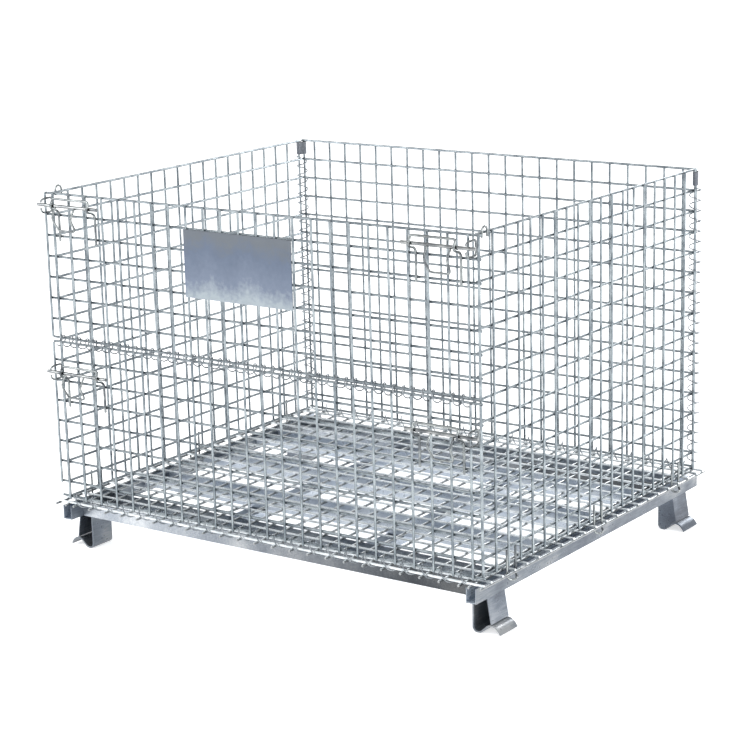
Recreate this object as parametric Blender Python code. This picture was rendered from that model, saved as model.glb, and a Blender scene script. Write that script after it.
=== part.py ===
"""Foldable wire mesh pallet cage: a mesh floor on bent sheet channels and four stacking feet, fixed and
hinged mesh panels joined by spiral wires, and a two-part front held by four sliding bolts.

Metres, +Z up. The front faces -Y and the ground is z = 0. Points are written in the cage's own frame,
with x = y = 0 in the middle of the floor, and one empty then shifts the whole cage in y so that the
middle of its outline is on the origin.
"""

from math import cos, pi, sin, tau

import bmesh
import bpy
from mathutils import Vector

# Driving dimensions
PITCH = 0.050  # mesh pitch of the cage
COARSE = 2 * PITCH  # every second wire is modelled
WIRE = 0.006  # mesh wire
WELD = 0.0006  # how far two crossing mesh wires sink into each other
LAYER = WIRE - WELD  # between the middles of two crossing wires
GAP = 0.0003  # between two pieces that touch
FOOT_HEIGHT = 0.085
CHANNEL_HEIGHT = 0.034
SHEET = 0.002
FLOOR_Z = FOOT_HEIGHT + CHANNEL_HEIGHT + WIRE  # between the floor's two layers of wire
TOP_ROW = 0.750  # heights of the rows are above FLOOR_Z
GATE_FOOT = 0.400
OVERALL_HEIGHT = 0.891

# Panels: upright wires on the outside, level wires on the inside
FRONT_END_X = 0.600
FRONT_UPRIGHT_Y = 0.493
FRONT_LEVEL_Y = FRONT_UPRIGHT_Y - LAYER
SIDE_UPRIGHT_X = 0.591
SIDE_LEVEL_X = SIDE_UPRIGHT_X - LAYER
SIDE_END_Y = 0.4775
BACK_END_X = 0.585
UPRIGHT_FOOT = 0.0085

# Spiral hinge wires
COIL_RADIUS = 0.016
COIL_WIRE = 0.003
COIL_POINTS = 8  # per turn
MID_HINGE = (-0.4935, FLOOR_Z + GATE_FOOT)
MID_HINGE_OFFSET = 0.0068  # of each hinge wire above or below the axis
BASE_HINGE = (-0.4938, FLOOR_Z + 0.0085)
BASE_HINGE_ROW = 0.0143
CORNER_HINGE = (0.588, 0.485)

# Latches
BOLT_Y = -0.513
BOLT_RADIUS = 0.004
BOLT_DROP = 0.024  # below the level wire above it
BOLT_ENDS = (0.421, 0.606)
BRACKET_LEGS = (0.446, 0.558)
BRACKET_DROP = 0.086
LATCH_WIRE = 0.006
HANDLE_ENDS = (0.489, 0.547)
HANDLE_KINK = 0.018
HANDLE_WIRE = 0.005
KEEPER_X = 0.588
KEEPER_MOUTH = 0.0066
UPPER_ROW = TOP_ROW
LOWER_ROW = 0.350

# Base
FLOOR_EDGE_Y = 0.500
FLOOR_OUTER_X = 0.605
FLOOR_WIRE_END = 0.513
CHANNEL_X = (0.564, 0.590)
CHANNEL_END_Y = 0.505
CROSS_WIDTH = 0.095
CROSS_HEIGHT = 0.018
RAIL_Y = 0.4155
CROSS_Y = (-0.190, 0.040, 0.262)
STRINGER_X = 0.200
STRINGER_WIDTH = 0.050
FOOT_Y = (0.385, 0.453)
STRAP = 0.004
STRAP_PATH = (
    (0.548, FOOT_HEIGHT - GAP),
    (0.548, 0.0095),
    (0.5545, 0.002),
    (0.566, 0.002),
    (0.576, 0.011),
    (0.584, 0.0185),
    (0.594, 0.0210),
    (0.604, 0.0185),
    (0.6115, 0.0120),
    (0.6170, 0.0035),
)  # the foot strap's middle line in x and z: wall, flat sole, saddle and turned-down lip

# The outline's lowest y is the handles' kink and its highest is the floor wires' ends.
MIDDLE_Y = (BOLT_Y - HANDLE_KINK - HANDLE_WIRE / 2 + FLOOR_WIRE_END) / 2

# ------------------------------------------------------------------ materials


def make_material(name, colour, roughness):
    material = bpy.data.materials.new(name)
    material.use_nodes = True
    shader = material.node_tree.nodes["Principled BSDF"]
    shader.inputs["Base Color"].default_value = (*colour, 1)
    shader.inputs["Roughness"].default_value = roughness
    shader.inputs["Metallic"].default_value = 1.0
    return material


# ------------------------------------------------------------------ bodies and parts

pivots = {}


def add_pivot(name, point, parent=None):
    """An empty on the axis of a moving body, or the cage's own frame."""
    empty = bpy.data.objects.new(name, None)
    bpy.context.collection.objects.link(empty)
    start = Vector((0, 0, 0))
    if parent:
        empty.parent, start = pivots[parent]
    empty.location = Vector(point) - start
    pivots[name] = (empty, Vector(point))


def add_part(name, bm, material, body):
    """Turn a bmesh in the cage's frame into a named object that hangs on its body's empty."""
    empty, point = pivots[body]
    bmesh.ops.translate(bm, verts=bm.verts, vec=-point)
    bmesh.ops.recalc_face_normals(bm, faces=bm.faces)
    mesh = bpy.data.meshes.new(name)
    bm.to_mesh(mesh)
    bm.free()
    mesh.materials.append(material)
    part = bpy.data.objects.new(name, mesh)
    bpy.context.collection.objects.link(part)
    part.parent = empty
    return part


def smooth(part):
    part.data.shade_smooth()
    part.data.set_sharp_from_angle(angle=0.7)


# ------------------------------------------------------------------ shapes


def add_box(bm, low, high):
    corners = bmesh.ops.create_cube(bm, size=1)["verts"]
    low, high = Vector(low), Vector(high)
    for corner in corners:
        for axis in range(3):
            corner.co[axis] = high[axis] if corner.co[axis] > 0 else low[axis]


def add_bar(bm, centre, span, axis):
    """A square wire through centre, along axis, over span."""
    low = [c - WIRE / 2 for c in centre]
    high = [c + WIRE / 2 for c in centre]
    low[axis], high[axis] = span
    add_box(bm, low, high)


def square_bars(centres, span, axis):
    bm = bmesh.new()
    for centre in centres:
        add_bar(bm, centre, span, axis)
    return bm


def union(first, second):
    """The union of two closed shapes, by a Boolean modifier."""
    pair = []
    for bm in (first, second):
        bmesh.ops.recalc_face_normals(bm, faces=bm.faces)
        mesh = bpy.data.meshes.new("operand")
        bm.to_mesh(mesh)
        bm.free()
        operand = bpy.data.objects.new("operand", mesh)
        bpy.context.collection.objects.link(operand)
        pair.append(operand)
    modifier = pair[0].modifiers.new("union", "BOOLEAN")
    modifier.operation = "UNION"
    modifier.solver = "EXACT"
    modifier.object = pair[1]
    result = bmesh.new()
    result.from_object(pair[0], bpy.context.evaluated_depsgraph_get())
    for operand in pair:
        bpy.data.objects.remove(operand)
    return result


def lift(bm, outline, axis, level):
    """Put a two-dimensional outline in the plane across axis, at level."""
    ring = []
    for a, b in outline:
        point = [a, b]
        point.insert(axis, level)
        ring.append(bm.verts.new(point))
    return ring


def join_rings(bm, one, two):
    for i in range(len(one)):
        j = (i + 1) % len(one)
        bm.faces.new((one[i], one[j], two[j], two[i]))


def prism(outline, axis, low, high):
    """A closed outline in the plane across axis, pushed along axis from low to high."""
    bm = bmesh.new()
    rings = [lift(bm, outline, axis, level) for level in (low, high)]
    bm.faces.new(rings[0])
    bm.faces.new(rings[1])
    join_rings(bm, *rings)
    return bm


def sleeve(outer, inner, axis, low, high):
    """A prism with a hole through it. Both outlines have the same number of points."""
    bm = bmesh.new()
    rings = [lift(bm, outer, axis, low), lift(bm, outer, axis, high)]
    rings += [lift(bm, inner, axis, high), lift(bm, inner, axis, low)]
    for i in range(4):
        join_rings(bm, rings[i], rings[(i + 1) % 4])
    return bm


def offset_path(path, distance):
    """A path moved sideways to its left by distance, with mitred bends."""
    path = [Vector(p) for p in path]
    moved = []
    for i, point in enumerate(path):
        before = (point - path[max(i - 1, 0)]).normalized()
        after = (path[min(i + 1, len(path) - 1)] - point).normalized()
        before = before if i else after
        after = after if i + 1 < len(path) else before
        left = Vector((-before.y - after.y, before.x + after.x)).normalized()
        moved.append(point + left * distance / left.dot(Vector((-before.y, before.x))))
    return moved


def strip_outline(path, thickness):
    """The outline of a bent strip whose middle line is path."""
    return offset_path(path, thickness / 2) + offset_path(path, -thickness / 2)[::-1]


def channel_outline(low, high, bottom, top):
    """A U section, open at the top."""
    return [
        (low, top),
        (low, bottom),
        (high, bottom),
        (high, top),
        (high - SHEET, top),
        (high - SHEET, bottom + SHEET),
        (low + SHEET, bottom + SHEET),
        (low + SHEET, top),
    ]


def tube(points, radius, sides):
    """A wire along points, with flat ends. Its section is carried from point to point without twist."""
    points = [Vector(p) for p in points]
    count = len(points)
    tangents = []
    for i in range(count):
        tangents.append((points[min(i + 1, count - 1)] - points[max(i - 1, 0)]).normalized())
    across = tangents[0].orthogonal().normalized()
    bm = bmesh.new()
    rings = []
    for point, tangent in zip(points, tangents):
        across = (across - tangent * across.dot(tangent)).normalized()
        other = tangent.cross(across)
        ring = []
        for k in range(sides):
            turn = tau * k / sides
            ring.append(bm.verts.new(point + (across * cos(turn) + other * sin(turn)) * radius))
        rings.append(ring)
    for one, two in zip(rings, rings[1:]):
        join_rings(bm, one, two)
    bm.faces.new(rings[0])
    bm.faces.new(rings[-1])
    return bm


def steps(first, last, step):
    """first, first + step and so on, up to last."""
    count = int(round((last - first) / step))
    return [first + step * i for i in range(count + 1)]


# ------------------------------------------------------------------ mesh panels


def upright_panel(columns, rows, layers, reach):
    """A welded mesh panel.

    columns are (place, foot, top) of the upright wires and rows are the level wires' heights, all above
    FLOOR_Z. layers are the axis across the panel and where the upright and the level wires lie on it.
    reach is the level wires' span.
    """
    across, upright_at, level_at = layers
    along = 1 - across
    uprights = bmesh.new()
    for place, foot, top in columns:
        centre = [0, 0, 0]
        centre[along] = place
        centre[across] = upright_at
        add_bar(uprights, centre, (FLOOR_Z + foot, FLOOR_Z + top), 2)
    levels = bmesh.new()
    for height in rows:
        centre = [0, 0, FLOOR_Z + height]
        centre[across] = level_at
        add_bar(levels, centre, reach, along)
    return union(uprights, levels)


def make_front_panels(material):
    places = steps(-0.575, 0.525, COARSE)
    ends = (-FRONT_END_X, FRONT_END_X)
    reach = (-FRONT_END_X - WIRE / 2, FRONT_END_X + WIRE / 2)
    layers = (1, -FRONT_UPRIGHT_Y, -FRONT_LEVEL_Y)
    columns = [(x, GATE_FOOT + 0.008, TOP_ROW + 0.002) for x in (*places, *ends)]
    rows = [GATE_FOOT + MID_HINGE_OFFSET, 0.500, 0.600, 0.700, TOP_ROW]
    add_part("gate_mesh", upright_panel(columns, rows, layers, reach), material, "gate")
    top = GATE_FOOT - 0.008
    columns = [(x, UPRIGHT_FOOT, top) for x in places]
    columns += [(x, PITCH - WIRE / 2, top) for x in ends]
    rows = [BASE_HINGE_ROW, 0.100, 0.200, 0.300, GATE_FOOT - MID_HINGE_OFFSET]
    add_part("lower_front_mesh", upright_panel(columns, rows, layers, reach), material, "lower_front")


def make_side_panel(side, name, material):
    places = [-SIDE_END_Y, *steps(-0.375, 0.425, COARSE), SIDE_END_Y]
    columns = [(y, UPRIGHT_FOOT, TOP_ROW + 0.002) for y in places]
    rows = [0.012, *steps(0.100, 0.700, COARSE), TOP_ROW]
    reach = (-SIDE_END_Y - WIRE / 2, SIDE_END_Y + WIRE / 2)
    layers = (0, side * SIDE_UPRIGHT_X, side * SIDE_LEVEL_X)
    add_part(f"{name}_side_mesh", upright_panel(columns, rows, layers, reach), material, "cage")


def make_back_panel(material):
    places = [-BACK_END_X, *steps(-0.550, 0.550, COARSE), BACK_END_X]
    columns = [(x, UPRIGHT_FOOT, TOP_ROW + 0.002) for x in places]
    rows = [BASE_HINGE_ROW, *steps(0.100, 0.700, COARSE), TOP_ROW]
    reach = (-BACK_END_X - WIRE / 2, BACK_END_X + WIRE / 2)
    layers = (1, FRONT_UPRIGHT_Y, FRONT_LEVEL_Y)
    add_part("back_mesh", upright_panel(columns, rows, layers, reach), material, "cage")


def make_floor(material):
    """Wires from front to back, with the wires from side to side lying on them."""
    lower_z = FLOOR_Z - LAYER / 2
    upper_z = FLOOR_Z + LAYER / 2
    places = [-FLOOR_OUTER_X, *steps(-0.550, 0.550, COARSE), FLOOR_OUTER_X]
    lower = square_bars([(x, 0, lower_z) for x in places], (-FLOOR_WIRE_END, FLOOR_WIRE_END), 1)
    places = [-FLOOR_EDGE_Y, -0.470, *steps(-0.375, 0.325, COARSE), 0.425, 0.470, FLOOR_EDGE_Y]
    reach = FLOOR_OUTER_X + WIRE / 2
    upper = square_bars([(0, y, upper_z) for y in places], (-reach, reach), 0)
    add_part("floor_mesh", union(lower, upper), material, "cage")


# ------------------------------------------------------------------ spiral hinges


def level_coil(y, z, top_at, half_length):
    """A spiral along X round (y, z). It passes over the top at top_at, then the front."""
    points = []
    for x in steps(-half_length, half_length, COARSE / COIL_POINTS):
        turn = tau * (x - top_at) / COARSE
        points.append((x, y - COIL_RADIUS * sin(turn), z + COIL_RADIUS * cos(turn)))
    return tube(points, COIL_WIRE / 2, 3)


def corner_coil(side, front_at, bottom, top):
    """A spiral along Z at a back corner. It passes its front at front_at, then its inner side."""
    points = []
    for z in steps(bottom, top, COARSE / COIL_POINTS):
        turn = tau * (z - front_at) / COARSE
        x = CORNER_HINGE[0] - COIL_RADIUS * sin(turn)
        y = CORNER_HINGE[1] - COIL_RADIUS * cos(turn)
        points.append((side * x, y, FLOOR_Z + z))
    return tube(points, COIL_WIRE / 2, 3)


def make_coils(material):
    """The spirals pass between the upright wires wherever they cross a panel."""
    mid = level_coil(*MID_HINGE, 0.045, 0.575)
    smooth(add_part("mid_front_coil", mid, material, "lower_front"))
    front = level_coil(*BASE_HINGE, 0.045, 0.550)
    smooth(add_part("front_bottom_coil", front, material, "cage"))
    back = level_coil(-BASE_HINGE[0], BASE_HINGE[1], 0.025, 0.550)
    smooth(add_part("back_bottom_coil", back, material, "cage"))
    for side, name in ((-1, "left"), (1, "right")):
        corner = corner_coil(side, 0.025, 0.030, 0.705)
        smooth(add_part(f"back_{name}_coil", corner, material, "cage"))


# ------------------------------------------------------------------ base channels and feet


def make_base_channels(material):
    top = FLOOR_Z - LAYER / 2 - WIRE / 2 - GAP
    inner_end = CHANNEL_X[0] - GAP
    for side, name in ((-1, "left"), (1, "right")):
        low, high = sorted(side * x for x in CHANNEL_X)
        outline = channel_outline(low, high, FOOT_HEIGHT, top)
        channel = prism(outline, 1, -CHANNEL_END_Y, CHANNEL_END_Y)
        add_part(f"{name}_side_channel", channel, material, "cage")
    for name, y in (("front", -RAIL_Y), ("rear", RAIL_Y)):
        outline = channel_outline(y - CROSS_WIDTH / 2, y + CROSS_WIDTH / 2, FOOT_HEIGHT, top)
        add_part(f"{name}_rail", prism(outline, 0, -inner_end, inner_end), material, "cage")
    cross_bottom = top - CROSS_HEIGHT
    for number, y in enumerate(CROSS_Y, 1):
        outline = channel_outline(y - CROSS_WIDTH / 2, y + CROSS_WIDTH / 2, cross_bottom, top)
        cross = prism(outline, 0, -inner_end, inner_end)
        add_part(f"cross_channel_{number}", cross, material, "cage")
    stringer_end = RAIL_Y - CROSS_WIDTH / 2 - GAP
    for side, name in ((-1, "left"), (1, "right")):
        middle = side * STRINGER_X
        low, high = middle - STRINGER_WIDTH / 2, middle + STRINGER_WIDTH / 2
        outline = channel_outline(low, high, FOOT_HEIGHT, cross_bottom - GAP)
        stringer = prism(outline, 1, -stringer_end, stringer_end)
        add_part(f"{name}_stringer", stringer, material, "cage")


def make_foot(side, end, name, material):
    """A bent strap whose saddle sits on the rim of the cage below, and a web with an outer wall."""
    low, high = sorted(end * y for y in FOOT_Y)
    outline = [(side * x, z) for x, z in strip_outline(STRAP_PATH, STRAP)]
    smooth(add_part(f"foot_{name}_strap", prism(outline, 1, low, high), material, "cage"))
    top = FOOT_HEIGHT - GAP
    wall = [(0.5825, top), (0.5855, top), (0.5955, 0.0245), (0.5925, 0.0245)]
    wall = prism([(side * x, z) for x, z in wall], 1, low, high)
    over_strap = [tuple(p) for p in offset_path(STRAP_PATH, STRAP / 2 + 2 * GAP)]
    web = over_strap[:6] + [(0.5940, 0.0255), (0.5840, top)]
    inner = end * (FOOT_Y[0] + 0.0002)
    web_low, web_high = sorted((inner, inner + end * 0.003))
    web = prism([(side * x, z) for x, z in web], 1, web_low, web_high)
    add_part(f"foot_{name}_web", union(wall, web), material, "cage")


def make_hoop(side, y, name, material):
    """A wire hoop round the floor's outer wire, whose legs stand outside the side panel."""
    half = [(0.597, -0.0175, 0.176), (0.597, -0.0175, 0.120), (0.599, -0.0165, 0.1125)]
    half += [(0.604, -0.0120, 0.1080), (0.607, -0.0040, 0.1065)]
    points = half + [(x, -dy, z) for x, dy, z in reversed(half)]
    hoop = tube([(side * x, y + dy, z) for x, dy, z in points], 0.0025, 6)
    smooth(add_part(name, hoop, material, "cage"))


# ------------------------------------------------------------------ latches


def bracket_points(side, bolt_z):
    """Up one leg, forward under the bolt, round its front, over the top bar and down the other leg."""
    leg_y = -FRONT_LEVEL_Y - WIRE / 2 - GAP - LATCH_WIRE / 2
    eye = 0.008
    points = []
    for x, inward in zip(BRACKET_LEGS, (1, -1)):
        half = [(x, leg_y, bolt_z - BRACKET_DROP), (x, leg_y, bolt_z - 0.018)]
        half.append((x, (leg_y + BOLT_Y) / 2, bolt_z - 0.010))
        for turn in (270, 225, 180, 135):
            angle = turn * pi / 180
            half.append((x, BOLT_Y + eye * cos(angle), bolt_z + eye * sin(angle)))
        half.append((x, BOLT_Y - 0.003, bolt_z + 0.012))
        half.append((x + inward * 0.006, BOLT_Y - 0.001, bolt_z + 0.017))
        points += half if inward > 0 else half[::-1]
    return [(side * x, y, z) for x, y, z in points]


def handle_points(side, bolt_z):
    """A finger loop that leaves the bolt, bulges forward and comes back to a level bottom."""
    near, far = HANDLE_ENDS
    points = []
    for x, inward in ((near, 1), (far, -1)):
        half = [(x, -0.0033, -0.0030), (x, -HANDLE_KINK, -0.026)]
        half += [(x + inward * 0.002, -0.003, -0.051), (x + inward * 0.008, -0.001, -0.057)]
        points += half if inward > 0 else half[::-1]
    return [(side * x, BOLT_Y + y, bolt_z + z) for x, y, z in points]


def keeper_points(side, bolt_z):
    """A wire eye for the bolt, open at the front at the bolt's height."""
    front, back = -0.5200, -0.4834
    top, foot = bolt_z + 0.014, bolt_z - 0.019
    points = [(front - 0.001, bolt_z + KEEPER_MOUTH), (front, bolt_z + 0.0105), (front + 0.008, top)]
    points += [(back - 0.004, top), (back, top - 0.004), (back, foot + 0.004), (back - 0.004, foot)]
    points += [(front + 0.008, foot), (front, bolt_z - 0.0140), (front - 0.001, bolt_z - KEEPER_MOUTH)]
    return [(side * KEEPER_X, y, z) for y, z in points]


def make_latch(side, name, row, body, wire, bright):
    """Bracket, bolt and handle on a front panel, and the keeper on the side panel."""
    bolt_z = FLOOR_Z + row - BOLT_DROP
    bracket = tube(bracket_points(side, bolt_z), LATCH_WIRE / 2, 6)
    smooth(add_part(f"{name}_bracket", bracket, wire, body))
    middle = (side * sum(BOLT_ENDS) / 2, BOLT_Y, bolt_z)
    add_pivot(f"{name}_bolt_slide", middle, body)
    bolt = tube([(side * x, BOLT_Y, bolt_z) for x in BOLT_ENDS], BOLT_RADIUS, 8)
    smooth(add_part(f"{name}_bolt", bolt, bright, f"{name}_bolt_slide"))
    add_pivot(f"{name}_handle_turn", middle, f"{name}_bolt_slide")
    handle = tube(handle_points(side, bolt_z), HANDLE_WIRE / 2, 6)
    smooth(add_part(f"{name}_handle", handle, wire, f"{name}_handle_turn"))
    keeper = tube(keeper_points(side, bolt_z), 0.0025, 6)
    smooth(add_part(f"{name}_keeper", keeper, wire, "cage"))


def make_stacking_ring(side, name, material):
    """A small loop on the side panel's top wire that keys into a foot of the cage above."""
    x = side * (SIDE_LEVEL_X + WIRE / 2 + GAP + 0.0025)
    top = OVERALL_HEIGHT - 0.0025
    bottom = FLOOR_Z + TOP_ROW - 0.009
    half = [(-0.010, bottom), (-0.010, top - 0.007), (-0.0075, top - 0.002), (-0.003, top)]
    points = half + [(-y, z) for y, z in reversed(half)]
    ring = tube([(x, y - 0.456, z) for y, z in points], 0.0025, 6)
    smooth(add_part(f"{name}_stacking_ring", ring, material, "cage"))


def capsule(one, two, radius):
    """The outline round two points at a distance."""
    one, two = Vector(one), Vector(two)
    heading = (two - one).normalized()
    points = []
    for centre, sense in ((two, 1), (one, -1)):
        for n in range(7):
            turn = pi * (n / 6 - 0.5)
            ahead = heading * cos(turn) + Vector((-heading.y, heading.x)) * sin(turn)
            points.append(centre + ahead * radius * sense)
    return points


def make_corner_clip(side, name, material):
    """A sleeve of sheet round the back panel's end wire and the side panel's."""
    ends = ((side * SIDE_UPRIGHT_X, SIDE_END_Y), (side * BACK_END_X, FRONT_UPRIGHT_Y))
    bore = WIRE * 0.7071 + GAP
    clip = sleeve(capsule(*ends, bore + SHEET), capsule(*ends, bore), 2, FLOOR_Z + 0.713, FLOOR_Z + 0.745)
    smooth(add_part(f"back_{name}_clip", clip, material, "cage"))


def make_label_plate(material):
    bm = bmesh.new()
    back = -FRONT_UPRIGHT_Y - WIRE / 2 - GAP
    add_box(bm, (-0.180, back - 0.001, FLOOR_Z + 0.545), (0.122, back, FLOOR_Z + 0.700))
    add_part("label_plate", bm, material, "gate")


# ------------------------------------------------------------------ the cage


def main():
    for old in list(bpy.data.objects):
        bpy.data.objects.remove(old)
    wire = make_material("zinc_wire", (0.62, 0.65, 0.66), 0.35)
    bright = make_material("bright_bolt", (0.70, 0.72, 0.73), 0.28)
    sheet = make_material("zinc_sheet", (0.47, 0.52, 0.60), 0.40)
    label = make_material("label_sheet", (0.40, 0.48, 0.60), 0.35)

    add_pivot("cage", (0, 0, 0))
    add_pivot("lower_front", (0, *BASE_HINGE), "cage")
    add_pivot("gate", (0, *MID_HINGE), "lower_front")

    make_front_panels(wire)
    make_back_panel(wire)
    make_floor(wire)
    make_coils(wire)
    make_base_channels(sheet)
    make_label_plate(label)
    for side, name in ((-1, "left"), (1, "right")):
        make_side_panel(side, name, wire)
        make_foot(side, -1, f"front_{name}", sheet)
        make_foot(side, 1, f"back_{name}", sheet)
        for place, y in (("front", -0.375), ("middle", 0.0), ("rear", 0.375)):
            make_hoop(side, y, f"{name}_hoop_{place}", wire)
        make_stacking_ring(side, name, wire)
        make_corner_clip(side, name, sheet)
        make_latch(side, f"upper_{name}", UPPER_ROW, "gate", wire, bright)
        make_latch(side, f"lower_{name}", LOWER_ROW, "lower_front", wire, bright)

    pivots["cage"][0].location.y = -MIDDLE_Y


main()
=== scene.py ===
"""The wire mesh container's finished look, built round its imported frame.

Metres, +Z up, the front faces -Y. Shapes are worked out in the cage's own frame, with y = 0 in the
middle of its floor, and make_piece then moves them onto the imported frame.
"""

from math import cos, pi, radians, sin, tau

import bmesh
import bpy
from mathutils import Matrix, Vector


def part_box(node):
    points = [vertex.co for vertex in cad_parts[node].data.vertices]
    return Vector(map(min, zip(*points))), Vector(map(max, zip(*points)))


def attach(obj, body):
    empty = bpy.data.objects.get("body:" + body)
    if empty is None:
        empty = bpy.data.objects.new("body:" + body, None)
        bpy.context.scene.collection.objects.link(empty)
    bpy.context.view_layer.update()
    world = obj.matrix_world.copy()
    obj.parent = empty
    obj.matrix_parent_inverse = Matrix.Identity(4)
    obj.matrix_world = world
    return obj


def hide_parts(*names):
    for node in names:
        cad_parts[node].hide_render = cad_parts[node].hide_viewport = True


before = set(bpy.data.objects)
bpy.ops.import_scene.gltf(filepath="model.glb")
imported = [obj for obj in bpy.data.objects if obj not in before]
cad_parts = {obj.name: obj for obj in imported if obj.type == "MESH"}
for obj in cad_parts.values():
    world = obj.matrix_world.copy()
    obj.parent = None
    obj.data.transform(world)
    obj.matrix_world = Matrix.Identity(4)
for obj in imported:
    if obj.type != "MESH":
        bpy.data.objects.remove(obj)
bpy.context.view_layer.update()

# ------------------------------------------------------------------ dimensions, in metres

floor_low, floor_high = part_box("floor_mesh")
SHIFT = (floor_low[1] + floor_high[1]) / 2  # from the cage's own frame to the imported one, in y

# Mesh. Heights of rows are above BASE.
PITCH = 0.050
WIRE = 0.006
LAYER = 0.0054  # between the middles of two crossing wires
BASE = 0.125  # between the floor's two layers of wire
TOP_ROW = 0.750
UPRIGHT_TOP = TOP_ROW + 0.0018
UPRIGHT_FOOT = 0.0085
BOTTOM_ROW = 0.0143  # of the front and back panels
SIDE_BOTTOM_ROW = 0.012
FRONT_UPRIGHT = 0.493
FRONT_LEVEL = FRONT_UPRIGHT - LAYER
FRONT_END = 0.600
FRONT_REACH = 0.603
GATE_FOOT = 0.4066
GATE_BOTTOM_ROW = 0.4052
LOWER_TOP = 0.3934
LOWER_TOP_ROW = 0.3948
LOWER_END_FOOT = 0.047
BACK_END = 0.585
BACK_REACH = 0.588
SIDE_UPRIGHT = 0.591
SIDE_LEVEL = SIDE_UPRIGHT - LAYER
SIDE_END = 0.4775
SIDE_REACH = 0.4805
FLOOR_REACH = (0.608, 0.513)

# Spiral hinge wires
MID_HINGE = (-0.4935, BASE + 0.400)
BASE_HINGE = (-0.4938, BASE + UPRIGHT_FOOT)
CORNER_HINGE = (0.588, 0.485)
COIL_WIRE = 0.0016  # radius
COIL_RADIUS = 0.014
MID_COIL_RADIUS = 0.0128
COIL_PITCH = 0.025
MID_COIL_REACH = 0.583
BASE_COIL_REACH = 0.5625
CORNER_COIL_FOOT = 0.030
CORNER_COIL_TOP = 0.708

# Latches
BOLT_Y = -0.513
BOLT_DROP = 0.024  # below the level wire above it
BOLT_ENDS = (0.421, 0.606)
BOLT_RADIUS = 0.004
BRACKET_LEGS = (0.446, 0.558)
BRACKET_DROP = 0.086
BRACKET_EYE = 0.008
BRACKET_RADIUS = 0.003
HANDLE_ENDS = (0.489, 0.547)
KEEPER_X = 0.588
LOOP_RADIUS = 0.0025  # of the handles', keepers', hoops' and stacking loops' wire
LOWER_LATCH_ROW = 0.350

# Base
TROUGH_FLOOR = 0.0865  # just under the inner floor of the rails and side channels
SHEET_INSET = 0.0016  # a little less than the sheet's thickness
STRAP_HALF = 0.002
STRAP_ENDS = (0.385, 0.453)
HOOP_PLACES = (("front", -0.375), ("middle", 0.0), ("rear", 0.375))
STACKING_RING_Y = -0.456


def steps(first, last, step):
    """Evenly spaced places from first to last."""
    count = int(round((last - first) / step))
    return [first + step * i for i in range(count + 1)]


# ------------------------------------------------------------------ materials


class Nodes:
    """A short way to write a node material, new or as a changed copy of another."""

    def __init__(self, name, source=None):
        self.material = source.copy() if source else bpy.data.materials.new(name)
        self.material.name = name
        self.material.use_nodes = True
        self.tree = self.material.node_tree
        self.shader = self.tree.nodes["Principled BSDF"]
        self.place = self.tree.nodes.new("ShaderNodeTexCoord").outputs["Object"]

    def put(self, value, socket):
        if isinstance(value, bpy.types.NodeSocket):
            self.tree.links.new(value, socket)
        else:
            socket.default_value = value

    def add(self, kind, **inputs):
        node = self.tree.nodes.new(kind)
        for name, value in inputs.items():
            self.put(value, node.inputs[name.replace("_", " ")])
        return node

    def math(self, operation, *values):
        node = self.tree.nodes.new("ShaderNodeMath")
        node.operation = operation
        for value, socket in zip(values, node.inputs):
            self.put(value, socket)
        return node.outputs[0]

    def scaled(self, colour, gain):
        node = self.tree.nodes.new("ShaderNodeVectorMath")
        node.operation = "SCALE"
        self.put(colour, node.inputs[0])
        self.put(gain, node.inputs["Scale"])
        return node.outputs[0]

    def split_place(self):
        return self.add("ShaderNodeSeparateXYZ", Vector=self.place).outputs

    def noise(self, scale, detail=4.0, stretch=(1, 1, 1)):
        place = self.add("ShaderNodeMapping", Vector=self.place, Scale=stretch).outputs["Vector"]
        node = self.add("ShaderNodeTexNoise", Vector=place, Scale=scale, Detail=detail)
        return node.outputs["Fac"]

    def ramp(self, value, stops):
        node = self.add("ShaderNodeValToRGB", Fac=value)
        band = node.color_ramp
        while len(band.elements) < len(stops):
            band.elements.new(0.5)
        for element, (at, colour) in zip(band.elements, stops):
            element.position = at
            element.color = (*colour, 1)
        return node.outputs["Color"]

    def grey_ramp(self, value, low, high):
        return self.ramp(value, [(0.3, (low,) * 3), (0.7, (high,) * 3)])

    def bump(self, height, strength, distance):
        node = self.add("ShaderNodeBump", Height=height, Strength=strength, Distance=distance)
        self.put(node.outputs["Normal"], self.shader.inputs["Normal"])

    def shade(self, colour, roughness, metallic=1.0):
        self.put(colour, self.shader.inputs["Base Color"])
        self.put(roughness, self.shader.inputs["Roughness"])
        self.put(metallic, self.shader.inputs["Metallic"])
        return self.material


def zinc_wire(name, dark, pale, low, high, shaded_below=None):
    """Bright plated wire: faint patches of tarnish and fine draw lines.

    low and high are its roughness. Wire under the height shaded_below gets painted shade: its
    colour is darkened there.
    """
    n = Nodes(name)
    colour = n.ramp(n.noise(38.0, 5.0), [(0.36, dark), (0.62, pale)])
    # Painted shade: below that height the wire's colour is scaled down to 0.4.
    if shaded_below is not None:
        gain = n.add("ShaderNodeMapRange", Value=n.split_place()["Z"])
        n.put(shaded_below - 0.0002, gain.inputs["From Min"])
        n.put(shaded_below + 0.0002, gain.inputs["From Max"])
        n.put(0.4, gain.inputs["To Min"])
        colour = n.scaled(colour, gain.outputs["Result"])
    n.bump(n.noise(700.0, 2.0), 0.1, 0.0003)
    return n.shade(colour, n.grey_ramp(n.noise(160.0, 3.0), low, high))


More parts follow.
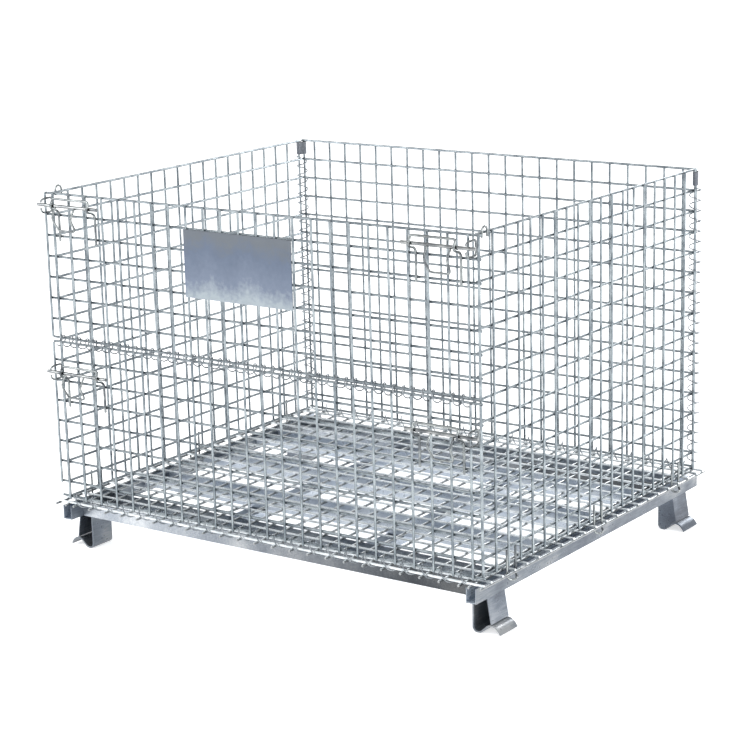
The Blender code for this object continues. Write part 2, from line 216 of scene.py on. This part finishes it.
def zinc_sheet(name, dark, middle, pale, metallic=0.8):
    """Plated sheet: soft cloudy patches, rolling streaks along Y and faint handling marks."""
    n = Nodes(name)
    streaks = n.math("MULTIPLY", n.noise(60.0, 4.0, (6, 0.5, 6)), 0.3)
    mixed = n.math("MULTIPLY_ADD", n.noise(9.0, 6.0), 0.7, streaks)
    colour = n.ramp(mixed, [(0.36, dark), (0.5, middle), (0.64, pale)])
    n.bump(n.noise(420.0, 3.0), 0.2, 0.0004)
    return n.shade(colour, n.grey_ramp(n.noise(70.0, 4.0), 0.24, 0.42), metallic)


def trough_sheet_with_painted_light(node, across, source, inside_light_gain, fades):
    """Sheet of an open-topped channel. Its inside gets painted light, a gain on its colour, and
    outside it may be painted darker towards +X, as painted shade.
    """
    low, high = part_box(node)
    n = Nodes(f"{node}_finish", source)
    colour = n.shader.inputs["Base Color"].links[0].from_socket
    place = n.split_place()
    axis = "XY".index(across)
    reach = (high[axis] - low[axis]) / 2 - SHEET_INSET
    middle = (low[axis] + high[axis]) / 2
    # Painted light: the channel's inside, between its walls and above its floor, has its colour
    # scaled by the inside gain.
    off_centre = n.math("ABSOLUTE", n.math("SUBTRACT", place[across], middle))
    between_walls = n.math("LESS_THAN", off_centre, reach)
    inside = n.math("MULTIPLY", between_walls, n.math("GREATER_THAN", place["Z"], TROUGH_FLOOR))
    outside_gain = 1.0
    # Painted shade: outside, the colour darkens towards +X, down to 0.18 of itself.
    if fades:
        along = n.math("DIVIDE", n.math("ADD", place["X"], 0.40), 0.95)
        fade = n.math("MINIMUM", n.math("MAXIMUM", along, 0.0), 0.82)
        outside_gain = n.math("SUBTRACT", 1.0, fade)
    outside = n.math("MULTIPLY", n.math("SUBTRACT", 1.0, inside), outside_gain)
    gain = n.math("ADD", n.math("MULTIPLY", inside, inside_light_gain), outside)
    n.put(n.scaled(colour, gain), n.shader.inputs["Base Color"])
    return n.material


def label_finish():
    """A blank plate, dull grey at the top, blue below and pale at its lower edge."""
    n = Nodes("label_plate_finish")
    low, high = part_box("label_plate")
    level = n.add("ShaderNodeMapRange", Value=n.split_place()["Z"])
    n.put(low[2], level.inputs["From Min"])
    n.put(high[2], level.inputs["From Max"])
    grain = n.math("MULTIPLY_ADD", n.noise(110.0, 8.0), 0.35, level.outputs["Result"])
    height = n.math("MULTIPLY_ADD", n.noise(14.0, 6.0, (1, 1, 0.25)), 0.55, grain)
    stops = [
        (0.30, (0.29, 0.33, 0.36)),
        (0.55, (0.15, 0.18, 0.24)),
        (0.95, (0.11, 0.137, 0.19)),
        (1.20, (0.125, 0.14, 0.16)),
    ]
    span = 1.5
    colour = n.ramp(n.math("DIVIDE", height, span), [((at + 0.175) / span, c) for at, c in stops])
    n.bump(n.noise(260.0, 3.0), 0.15, 0.0004)
    return n.shade(colour, n.grey_ramp(n.noise(30.0, 5.0), 0.34, 0.5), 0.75)


WIRE_FINISH = zinc_wire("bright_zinc_wire", (0.15, 0.175, 0.195), (0.31, 0.345, 0.365), 0.23, 0.33)
LATCH_FINISH = zinc_wire("bright_zinc_latch", (0.11, 0.12, 0.13), (0.30, 0.32, 0.32), 0.14, 0.22)
BOLT_FINISH = zinc_wire("bright_zinc_bolt", (0.12, 0.13, 0.14), (0.34, 0.35, 0.35), 0.14, 0.22)
# Painted light: the floor wires are a much paler copy of the zinc wire, lit from above; their lower
# layer gets painted shade.
FLOOR_WIRE_PAINTED_LIGHT_AND_SHADE = zinc_wire("floor_zinc_wire_painted_light_and_shade", (0.56, 0.60, 0.62), (0.82, 0.85, 0.87), 0.24, 0.36, BASE)
COIL_FINISH = zinc_wire("dull_zinc_spiral", (0.15, 0.17, 0.19), (0.32, 0.34, 0.36), 0.24, 0.38)
SHEET_FINISH = zinc_sheet("zinc_sheet", (0.20, 0.23, 0.275), (0.36, 0.39, 0.43), (0.58, 0.60, 0.62))
# Painted shade: a darker copy of the zinc sheet for the foot straps and the side channels.
FOOT_SHEET_PAINTED_SHADE = zinc_sheet(
    "foot_sheet_painted_shade", (0.085, 0.10, 0.125), (0.145, 0.165, 0.19), (0.27, 0.28, 0.29), 0.6
)
# Painted shade: a still darker copy of the zinc sheet for the feet's webs, which stand in shade.
WEB_FINISH = zinc_sheet(
    "shaded_sheet", (0.06, 0.07, 0.09), (0.12, 0.14, 0.17), (0.24, 0.26, 0.29), 0.6
)
DECK_FINISH = zinc_sheet(
    "pale_sheet", (0.34, 0.39, 0.46), (0.46, 0.51, 0.58), (0.64, 0.68, 0.73), 0.35
)
SLEEVE_FINISH = zinc_sheet("dark_sheet", (0.09, 0.10, 0.12), (0.15, 0.16, 0.18), (0.26, 0.27, 0.28))
LABEL_FINISH = label_finish()

# ------------------------------------------------------------------ shapes


def make_piece(name, bm, material, body, nodes, sharp=0.6):
    """A piece drawn in the cage's own frame, which rides on a body and stands for CAD nodes."""
    bmesh.ops.translate(bm, verts=bm.verts, vec=(0, SHIFT, 0))
    bmesh.ops.recalc_face_normals(bm, faces=bm.faces)
    mesh = bpy.data.meshes.new(name)
    bm.to_mesh(mesh)
    bm.free()
    mesh.materials.append(material)
    mesh.shade_smooth()
    mesh.set_sharp_from_angle(angle=sharp)
    piece = bpy.data.objects.new(name, mesh)
    bpy.context.collection.objects.link(piece)
    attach(piece, body)
    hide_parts(*nodes)
    return piece


def add_tube(bm, points, radius, sides=10):
    """A round wire along points. Its two ends are slightly chamfered, as sheared wire is."""
    points = [Vector(p) for p in points]
    bite = radius * 0.25
    first = (points[1] - points[0]).normalized() * bite
    last = (points[-2] - points[-1]).normalized() * bite
    points = [points[0], points[0] + first, *points[1:-1], points[-1] + last, points[-1]]
    count = len(points)
    tangents = []
    for i in range(count):
        tangents.append((points[min(i + 1, count - 1)] - points[max(i - 1, 0)]).normalized())
    across = tangents[0].orthogonal().normalized()
    previous = None
    for i, (point, tangent) in enumerate(zip(points, tangents)):
        across = (across - tangent * across.dot(tangent)).normalized()
        other = tangent.cross(across)
        size = radius * 0.75 if i in (0, count - 1) else radius
        ring = []
        for k in range(sides):
            turn = tau * k / sides
            ring.append(bm.verts.new(point + (across * cos(turn) + other * sin(turn)) * size))
        if previous:
            for k in range(sides):
                m = (k + 1) % sides
                bm.faces.new((previous[k], previous[m], ring[m], ring[k]))
        if i in (0, count - 1):
            bm.faces.new(ring)
        previous = ring


def round_bends(points, reach, parts=5):
    """A path whose corners are replaced by short curves that start and end reach away from them."""
    points = [Vector(p) for p in points]
    path = [points[0]]
    for before, corner, after in zip(points, points[1:], points[2:]):
        near = min(reach, (corner - before).length * 0.48)
        far = min(reach, (after - corner).length * 0.48)
        start = corner + (before - corner).normalized() * near
        end = corner + (after - corner).normalized() * far
        for n in range(parts + 1):
            t = n / parts
            path.append(start * (1 - t) ** 2 + corner * 2 * t * (1 - t) + end * t * t)
    path.append(points[-1])
    return path


def soften(piece, width):
    """Round the edges of a sheet piece."""
    bevel = piece.modifiers.new("edges", "BEVEL")
    bevel.width = width
    bevel.segments = 2
    bevel.limit_method = "ANGLE"
    bevel.angle_limit = 0.7
    bevel.harden_normals = False


# ------------------------------------------------------------------ the mesh panels


def panel(across, upright_at, level_at, columns, rows, reach):
    """A welded panel of round wire, level along x (across=1) or y (across=0).

    columns are (place, foot, top) of the uprights and rows are the level wires' heights.
    """
    bm = bmesh.new()
    along = 1 - across

    def point(a, layer, z):
        p = [0, 0, BASE + z]
        p[along] = a
        p[across] = layer
        return p

    for place, foot, top in columns:
        add_tube(bm, [point(place, upright_at, foot), point(place, upright_at, top)], WIRE / 2)
    for height in rows:
        add_tube(bm, [point(-reach, level_at, height), point(reach, level_at, height)], WIRE / 2)
    return bm


def build_panels():
    places = steps(-0.575, 0.575, PITCH)
    ends = (-FRONT_END, FRONT_END)
    columns = [(x, GATE_FOOT, UPRIGHT_TOP) for x in (*places, *ends)]
    rows = [GATE_BOTTOM_ROW, *steps(0.450, TOP_ROW, PITCH)]
    gate = panel(1, -FRONT_UPRIGHT, -FRONT_LEVEL, columns, rows, FRONT_REACH)
    make_piece("gate_wires", gate, WIRE_FINISH, "gate", ["gate_mesh"])

    columns = [(x, UPRIGHT_FOOT, LOWER_TOP) for x in places]
    columns += [(x, LOWER_END_FOOT, LOWER_TOP) for x in ends]
    rows = [BOTTOM_ROW, *steps(PITCH, 0.350, PITCH), LOWER_TOP_ROW]
    lower = panel(1, -FRONT_UPRIGHT, -FRONT_LEVEL, columns, rows, FRONT_REACH)
    name = "lower_front"
    make_piece(f"{name}_wires", lower, WIRE_FINISH, name, [f"{name}_mesh"])

    places = (-BACK_END, *steps(-0.550, 0.550, PITCH), BACK_END)
    columns = [(x, UPRIGHT_FOOT, UPRIGHT_TOP) for x in places]
    rows = [BOTTOM_ROW, *steps(PITCH, TOP_ROW, PITCH)]
    back = panel(1, FRONT_UPRIGHT, FRONT_LEVEL, columns, rows, BACK_REACH)
    make_piece("back_wires", back, WIRE_FINISH, "cage", ["back_mesh"])

    places = (-SIDE_END, *steps(-0.425, 0.425, PITCH), SIDE_END)
    columns = [(y, UPRIGHT_FOOT, UPRIGHT_TOP) for y in places]
    rows = [SIDE_BOTTOM_ROW, *steps(PITCH, TOP_ROW, PITCH)]
    for side, name in ((-1, "left_side"), (1, "right_side")):
        wires = panel(0, side * SIDE_UPRIGHT, side * SIDE_LEVEL, columns, rows, SIDE_REACH)
        make_piece(f"{name}_wires", wires, WIRE_FINISH, "cage", [f"{name}_mesh"])


def build_floor():
    bm = bmesh.new()
    reach_x, reach_y = FLOOR_REACH
    z = BASE - LAYER / 2
    for x in (-0.605, -0.575, *steps(-0.550, 0.550, PITCH), 0.575, 0.605):
        add_tube(bm, [(x, -reach_y, z), (x, reach_y, z)], WIRE / 2)
    z = BASE + LAYER / 2
    for y in (-0.500, -0.470, *steps(-0.425, 0.425, PITCH), 0.470, 0.500):
        add_tube(bm, [(-reach_x, y, z), (reach_x, y, z)], WIRE / 2)
    make_piece("floor_wires", bm, FLOOR_WIRE_PAINTED_LIGHT_AND_SHADE, "cage", ["floor_mesh"])


# ------------------------------------------------------------------ spiral hinge wires


def make_spiral(points, place, body):
    bm = bmesh.new()
    add_tube(bm, points, COIL_WIRE, 6)
    name, node = f"{place}_spiral", f"{place}_coil"
    make_piece(name, bm, COIL_FINISH, body, [node], sharp=1.2)


def level_spiral(axis, reach, radius, pitch, top_at, place, body):
    """A spiral along X round axis (y, z), with the top of a turn at x = top_at."""
    points = []
    for x in steps(-reach, reach, pitch / 16):
        turn = tau * (x - top_at) / pitch
        points.append((x, axis[0] - radius * sin(turn), axis[1] + radius * cos(turn)))
    make_spiral(points, place, body)


def corner_spiral(side, place):
    """A spiral up a back corner, round the last uprights of the side and the back."""
    points = []
    for z in steps(CORNER_COIL_FOOT, CORNER_COIL_TOP, COIL_PITCH / 14):
        turn = tau * (z - 0.0094) / COIL_PITCH
        x = CORNER_HINGE[0] - COIL_RADIUS * sin(turn)
        points.append((side * x, CORNER_HINGE[1] - COIL_RADIUS * cos(turn), BASE + z))
    make_spiral(points, place, "cage")


def build_spirals():
    # top_at keeps each turn clear of the uprights that it passes, also when the panels fold
    level_spiral(
        MID_HINGE, MID_COIL_REACH, MID_COIL_RADIUS, COIL_PITCH, 0.0075, "mid_front", "lower_front"
    )
    wide = 2 * COIL_PITCH
    back_hinge = (-BASE_HINGE[0], BASE_HINGE[1])
    level_spiral(BASE_HINGE, BASE_COIL_REACH, COIL_RADIUS, wide, 0.0450, "front_bottom", "cage")
    level_spiral(back_hinge, BASE_COIL_REACH, COIL_RADIUS, wide, 0.0125, "back_bottom", "cage")
    corner_spiral(-1, "back_left")
    corner_spiral(1, "back_right")


# ------------------------------------------------------------------ latches


def mirrored_path(ends, half_path):
    """A symmetrical wire: one half at the first of ends, the other turned round at the second."""
    first, second = ends
    return half_path(first, 1) + half_path(second, -1)[::-1]


def build_latch(side, name, row, body):
    """Bracket, bolt, finger handle and keeper, drawn for the right side and mirrored by side."""
    z = BASE + row - BOLT_DROP

    def make_wire(path, bend, radius, piece, rides_on, node):
        path = round_bends([(side * x, y, h) for x, y, h in path], bend)
        bm = bmesh.new()
        add_tube(bm, path, radius, 12)
        make_piece(piece, bm, LATCH_FINISH, rides_on, [node])

    def bracket_half(x, inward):
        """Up the leg, round the bolt and over to the top bar."""
        leg_y = -FRONT_LEVEL - WIRE - 0.0003
        half = [(x, leg_y, z - BRACKET_DROP), (x, leg_y, z - 0.018)]
        half.append((x, (leg_y + BOLT_Y) / 2, z - 0.010))
        for turn in (270, 240, 210, 180, 150, 130):
            angle = radians(turn)
            half.append((x, BOLT_Y + BRACKET_EYE * cos(angle), z + BRACKET_EYE * sin(angle)))
        half.append((x, BOLT_Y - 0.003, z + 0.010))
        half.append((x + inward * 0.001, BOLT_Y - 0.001, z + 0.017))
        return half

    def handle_half(x, inward):
        """Down from the bolt, out to the kink and in to the finger bar."""
        half = [(x, -0.0033, -0.0030), (x, -0.018, -0.026)]
        half += [(x + inward * 0.002, -0.003, -0.049), (x + inward * 0.005, -0.001, -0.057)]
        return [(x, BOLT_Y + y, z + h) for x, y, h in half]

    bracket = mirrored_path(BRACKET_LEGS, bracket_half)
    make_wire(bracket, 0.006, BRACKET_RADIUS, f"{name}_latch_bracket", body, f"{name}_bracket")

    bm = bmesh.new()
    add_tube(bm, [(side * x, BOLT_Y, z) for x in BOLT_ENDS], BOLT_RADIUS, 20)
    bolt = f"{name}_bolt"
    make_piece(f"{name}_latch_bolt", bm, BOLT_FINISH, bolt, [bolt])

    handle = f"{name}_handle"
    path = mirrored_path(HANDLE_ENDS, handle_half)
    make_wire(path, 0.009, LOOP_RADIUS, f"{name}_latch_handle", handle, handle)

    front, back = -0.5200, -0.4834
    top, foot = z + 0.014, z - 0.019
    keeper = [(front - 0.001, z + 0.0066), (front, z + 0.0105), (front + 0.008, top), (back, top)]
    keeper += [(back, foot), (front + 0.008, foot), (front, z - 0.0140)]
    keeper.append((front - 0.001, z - 0.0066))
    path = [(KEEPER_X, y, h) for y, h in keeper]
    make_wire(path, 0.007, LOOP_RADIUS, f"{name}_latch_keeper", "cage", f"{name}_keeper")


# ------------------------------------------------------------------ base, feet, hoops and loops


def offset_path(path, distance):
    """A path in a plane moved to its left by distance."""
    moved = []
    for i, point in enumerate(path):
        before = (point - path[max(i - 1, 0)]).normalized()
        after = (path[min(i + 1, len(path) - 1)] - point).normalized()
        before = before if i else after
        after = after if i + 1 < len(path) else before
        left = Vector((-before.y - after.y, before.x + after.x)).normalized()
        moved.append(point + left * distance / left.dot(Vector((-before.y, before.x))))
    return moved


def build_strap(side, end, name):
    """The foot's bent strap, with smooth bends and a rolled lip."""
    path = [(0.548, 0.0847), (0.548, 0.0080), (0.554, STRAP_HALF), (0.5665, STRAP_HALF)]
    path.append((0.576, 0.011))
    path += [(0.584, 0.0188), (0.594, 0.0214), (0.604, 0.0188), (0.6115, 0.0120), (0.6168, 0.0035)]
    path = round_bends([(x, z, 0) for x, z in path], 0.0055, 4)
    path = [Vector((p.x, p.y)) for p in path]
    outline = offset_path(path, STRAP_HALF) + offset_path(path, -STRAP_HALF)[::-1]
    bm = bmesh.new()
    rings = []
    for y in STRAP_ENDS:
        rings.append([bm.verts.new((side * p.x, end * y, max(p.y, 0.0))) for p in outline])
    count = len(outline)
    for i in range(count):
        j = (i + 1) % count
        bm.faces.new((rings[0][i], rings[0][j], rings[1][j], rings[1][i]))
    bm.faces.new(rings[0])
    bm.faces.new(rings[1])
    node = f"foot_{name}_strap"
    piece = make_piece(f"{name}_foot_strap", bm, FOOT_SHEET_PAINTED_SHADE, "cage", [node])
    soften(piece, 0.0005)


def build_base():
    """Foot straps, and finishes with painted light and shade and softened edges for the CAD sheet
    pieces that stay.
    """
    for end, place in ((-1, "front"), (1, "back")):
        for side, name in ((-1, "left"), (1, "right")):
            build_strap(side, end, f"{place}_{name}")
    finishes = {}
    # Painted light inside the rails (a little) and the side channels (much); painted shade on the
    # rails' outsides towards +X and on the webs.
    for node in ("front_rail", "rear_rail"):
        finishes[node] = trough_sheet_with_painted_light(node, "Y", SHEET_FINISH, 1.1, True)
    for node in ("left_stringer", "right_stringer", *(f"cross_channel_{n}" for n in (1, 2, 3))):
        finishes[node] = DECK_FINISH
    for side in ("left", "right"):
        node = f"{side}_side_channel"
        finishes[node] = trough_sheet_with_painted_light(node, "X", FOOT_SHEET_PAINTED_SHADE, 3.0, False)
        for end in ("front", "back"):
            finishes[f"foot_{end}_{side}_web"] = WEB_FINISH
    for node, finish in finishes.items():
        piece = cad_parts[node]
        piece.material_slots[0].material = finish
        soften(piece, 0.0007)
    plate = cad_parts["label_plate"]
    plate.material_slots[0].material = LABEL_FINISH
    soften(plate, 0.0003)


def build_hoop(side, y, name):
    """A hoop welded to the side channel that holds the side panel's lower edge."""
    half = [(0.597, -0.0175, 0.176), (0.597, -0.0175, 0.118), (0.600, -0.0160, 0.1100)]
    half += [(0.6065, -0.0080, 0.1068)]
    points = half + [(x, -dy, z) for x, dy, z in reversed(half)]
    bm = bmesh.new()
    path = round_bends([(side * x, y + dy, z) for x, dy, z in points], 0.009)
    add_tube(bm, path, LOOP_RADIUS, 12)
    make_piece(f"{name}_wire", bm, LATCH_FINISH, "cage", [name])


def build_ring(name):
    """The small stacking loop on a side panel's top wire."""
    node = f"{name}_stacking_ring"
    low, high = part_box(node)
    x = (low[0] + high[0]) / 2
    foot, top = low[2], high[2] - LOOP_RADIUS
    path = [(-0.010, foot), (-0.010, top - 0.006), (-0.004, top)]
    path += [(-y, z) for y, z in path[::-1]]
    path = round_bends([(x, y + STACKING_RING_Y, z) for y, z in path], 0.006)
    bm = bmesh.new()
    add_tube(bm, path, LOOP_RADIUS, 12)
    make_piece(f"{name}_stacking_loop", bm, LATCH_FINISH, "cage", [node])


def capsule(one, two, radius, parts=14):
    """The outline, in a plane, of everything within radius of the line from one to two."""
    one, two = Vector(one), Vector(two)
    heading = (two - one).normalized()
    points = []
    for centre, sense in ((two, 1), (one, -1)):
        for n in range(parts + 1):
            turn = pi * (n / parts - 0.5)
            ahead = heading * cos(turn) + Vector((-heading.y, heading.x)) * sin(turn)
            points.append(centre + ahead * radius * sense)
    return points


def build_clip(side, name):
    """The sleeve of sheet at the top of a back corner."""
    node = f"back_{name}_clip"
    low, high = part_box(node)
    ends = ((side * SIDE_UPRIGHT, SIDE_END), (side * BACK_END, FRONT_UPRIGHT))
    bm = bmesh.new()
    rings = []
    outer, inner = 0.0065, 0.0047
    for radius, z in ((outer, low[2]), (outer, high[2]), (inner, high[2]), (inner, low[2])):
        rings.append([bm.verts.new((p.x, p.y, z)) for p in capsule(*ends, radius)])
    for one, two in zip(rings, rings[1:] + rings[:1]):
        for i in range(len(one)):
            j = (i + 1) % len(one)
            bm.faces.new((one[i], one[j], two[j], two[i]))
    piece = make_piece(f"back_{name}_sleeve", bm, SLEEVE_FINISH, "cage", [node])
    soften(piece, 0.0004)


# ------------------------------------------------------------------ studio


def look_from(azimuth, elevation, roll, target, distance):
    """Camera matrix. Azimuth 0 looks along +Y and 90 along -X."""
    a, e, r = radians(azimuth), radians(elevation), radians(roll)
    ahead = Vector((-sin(a) * cos(e), cos(a) * cos(e), -sin(e)))
    level = Vector((cos(a), sin(a), 0))
    upward = level.cross(ahead)
    right = level * cos(r) + upward * sin(r)
    up = upward * cos(r) - level * sin(r)
    matrix = Matrix((right, up, -ahead)).transposed().to_4x4()
    matrix.translation = Vector(target) - ahead * distance
    return matrix


LAMP_TARGET = (0, 0, 0.4)


def build_studio():
    """Camera, white floor, pale world, a soft sun and three soft boxes."""
    camera = bpy.data.objects.new("camera", bpy.data.cameras.new("camera"))
    bpy.context.collection.objects.link(camera)
    camera.data.sensor_width = 36.0
    camera.data.lens = 106.94
    camera.matrix_world = look_from(35.53, 13.89, -1.45, (-0.4471, 0.6005 + SHIFT, 0.2193), 6.1348)
    bpy.context.scene.camera = camera

    bpy.ops.mesh.primitive_plane_add(size=120)
    ground = bpy.context.object
    ground.name = "studio_floor"
    pale = bpy.data.materials.new("studio_floor")
    pale.use_nodes = True
    shader = pale.node_tree.nodes["Principled BSDF"]
    shader.inputs["Base Color"].default_value = (0.97, 0.97, 0.97, 1)
    shader.inputs["Roughness"].default_value = 0.9
    shader.inputs["Emission Color"].default_value = (1, 1, 1, 1)
    shader.inputs["Emission Strength"].default_value = 0.55
    shader.inputs["Specular IOR Level"].default_value = 0.1
    ground.data.materials.append(pale)

    world = bpy.data.worlds.new("studio")
    bpy.context.scene.world = world
    world.use_nodes = True
    world.node_tree.nodes["Background"].inputs["Color"].default_value = (0.98, 0.99, 1.0, 1)
    world.node_tree.nodes["Background"].inputs["Strength"].default_value = 1.0
    bpy.context.scene.view_settings.view_transform = "Standard"

    sun = bpy.data.objects.new("key", bpy.data.lights.new("key", "SUN"))
    bpy.context.collection.objects.link(sun)
    sun.data.energy = 0.7
    sun.data.angle = radians(40)
    sun.rotation_euler = (radians(28), radians(-16), radians(20))

    for name, place, size, power in (
        ("left_softbox", (-3.2, -3.4, 2.2), 1.6, 45),
        ("right_softbox", (4.2, -0.6, 1.8), 1.6, 60),
        ("back_softbox", (0.8, 4.5, 2.8), 1.8, 90),
    ):
        lamp = bpy.data.objects.new(name, bpy.data.lights.new(name, "AREA"))
        bpy.context.collection.objects.link(lamp)
        lamp.data.size = size
        lamp.data.energy = power
        lamp.location = place
        heading = Vector(LAMP_TARGET) - Vector(place)
        lamp.rotation_euler = heading.to_track_quat("-Z", "Y").to_euler()


build_studio()
build_panels()
build_floor()
build_spirals()
for side, name in ((-1, "left"), (1, "right")):
    build_latch(side, f"upper_{name}", TOP_ROW, "gate")
    build_latch(side, f"lower_{name}", LOWER_LATCH_ROW, "lower_front")
    for place, y in HOOP_PLACES:
        build_hoop(side, y, f"{name}_hoop_{place}")
    build_ring(name)
    build_clip(side, name)
build_base()
